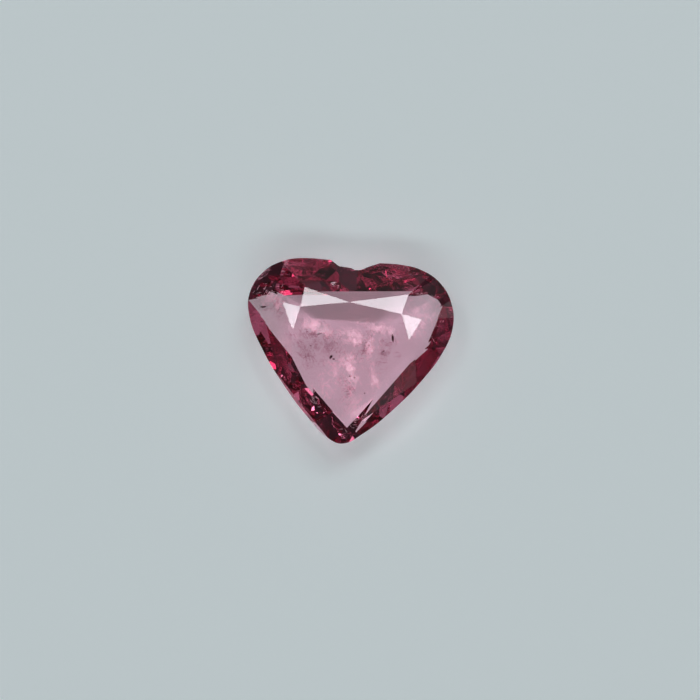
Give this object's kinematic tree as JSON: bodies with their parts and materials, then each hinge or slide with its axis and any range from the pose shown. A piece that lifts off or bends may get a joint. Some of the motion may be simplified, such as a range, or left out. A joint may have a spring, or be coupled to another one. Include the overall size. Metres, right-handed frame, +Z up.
{
  "type": "sapphire gemstone",
  "caption": "Heart-cut faceted pink sapphire, a loose transparent gemstone with a flat table and a flat base, to set or to lay down.",
  "frame": {"origin": "middle of the stone's outline, at the level of its flat base facet", "axes": "+X across the two lobes, +Y from the tip towards the cleft, +Z up out of the table"},
  "size_m": [0.0066, 0.0058, 0.0019],
  "materials": {
    "pink_sapphire": "polished transparent pink corundum with fine silk and a few dark specks"
  },
  "bodies": {
    "root": {"sapphire": "pink_sapphire"}
  },
  "joints": []
}
